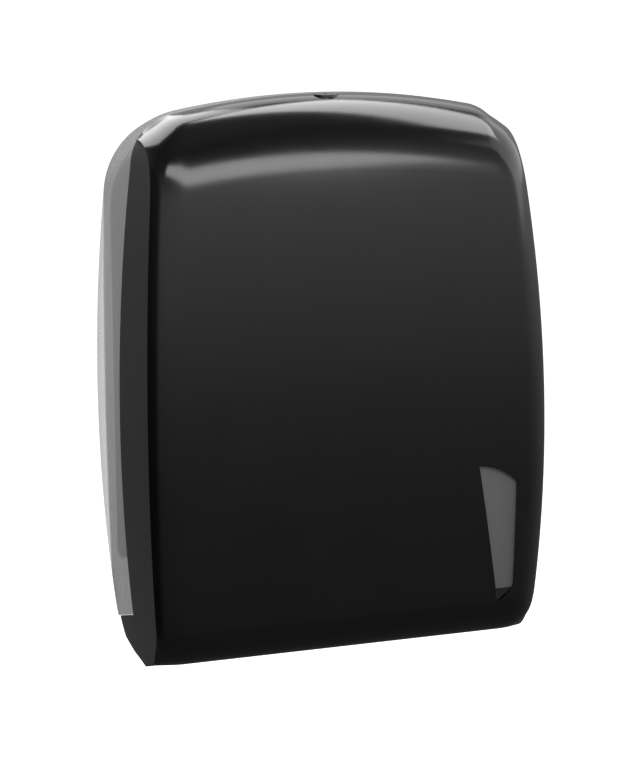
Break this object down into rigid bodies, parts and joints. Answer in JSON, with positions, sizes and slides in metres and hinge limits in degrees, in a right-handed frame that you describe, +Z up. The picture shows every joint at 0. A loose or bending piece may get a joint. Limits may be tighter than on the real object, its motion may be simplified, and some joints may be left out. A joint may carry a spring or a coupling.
{
  "type": "folded towel dispenser",
  "caption": "Wall-hung folded towel dispenser: bowed black skin over a smoke translucent cover that swings down from a wall plate, with a level window, key lock and outlet slot underneath.",
  "frame": {"origin": "middle of the four wall screw holes, on the wall plane", "axes": "+Z up, +X to the right of someone facing the front, +Y into the wall; the front faces -Y"},
  "size_m": [0.3, 0.14, 0.4015],
  "materials": {
    "black_plastic": "satin black moulding with a soft sheen",
    "smoke_plastic": "translucent smoke grey moulding",
    "grey_plastic": "light grey moulding",
    "dark_plastic": "near-black moulding",
    "bright_metal": "nickel plated",
    "steel": "zinc plated"
  },
  "bodies": {
    "wall": {"wall_plate": "grey_plastic", "towel_shelf": "dark_plastic", "shelf_screws": "steel", "guide_left": "grey_plastic", "guide_right": "grey_plastic", "guide_screws": "steel", "strike_plate": "steel", "strike_screws": "steel", "hinge_pin_left": "steel", "hinge_pin_right": "steel", "hinge_clip_left": "steel", "hinge_clip_right": "steel"},
    "cover": {"smoke_cover": "smoke_plastic", "front_skin": "black_plastic", "skin_screws": "steel", "lock_housing": "bright_metal", "lock_washer": "steel", "lock_nut": "steel"},
    "lock": {"lock_plug": "bright_metal", "lock_stop": "steel", "lock_cam": "steel", "cam_screw": "steel"}
  },
  "joints": [
    {"name": "cover_hinge", "type": "hinge", "parent": "wall", "child": "cover", "pos_m": [0, -0.043, -0.182], "axis": [1, 0, 0], "range_deg": [0, 95]},
    {"name": "lock_turn", "type": "hinge", "parent": "cover", "child": "lock", "pos_m": [0, -0.07, 0.175], "axis": [0, 0, 1], "range_deg": [0, 90]}
  ]
}
